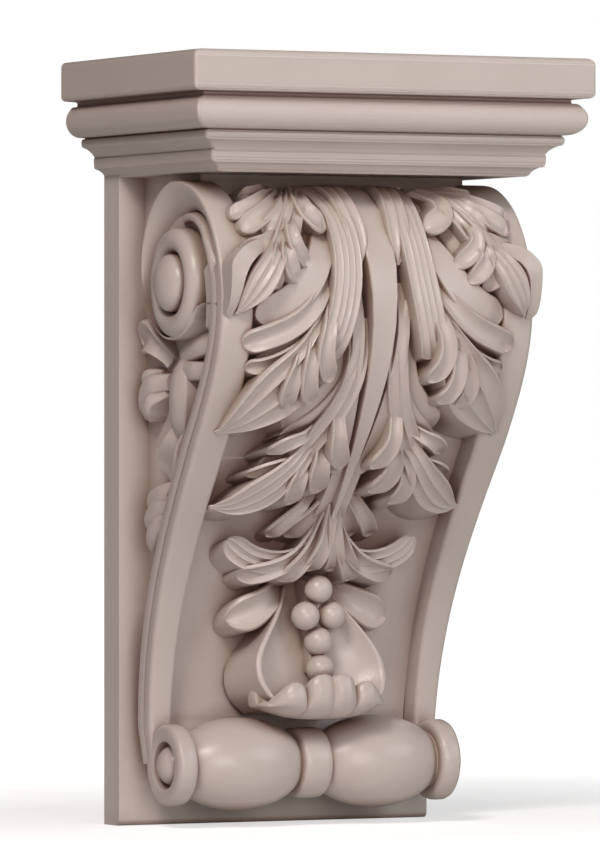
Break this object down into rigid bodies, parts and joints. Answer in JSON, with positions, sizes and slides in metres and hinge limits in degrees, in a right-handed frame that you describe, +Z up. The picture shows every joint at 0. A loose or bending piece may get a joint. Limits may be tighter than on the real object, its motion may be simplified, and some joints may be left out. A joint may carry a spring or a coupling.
{
  "type": "corbel",
  "caption": "Cast corbel with a moulded cap, scrolled acanthus front, side volutes and a turned roll at the foot, fixed flat to a wall under a shelf or mantel",
  "frame": {"origin": "centre of the flat back of the corbel, where it meets the wall: half way up and half way across", "axes": "+X to the viewer's right, +Y into the wall, +Z up"},
  "size_m": [0.203, 0.14, 0.35],
  "materials": {
    "corbel": "smooth moulded skin with a low satin sheen"
  },
  "bodies": {
    "root": {"corbel": "corbel"}
  },
  "joints": []
}
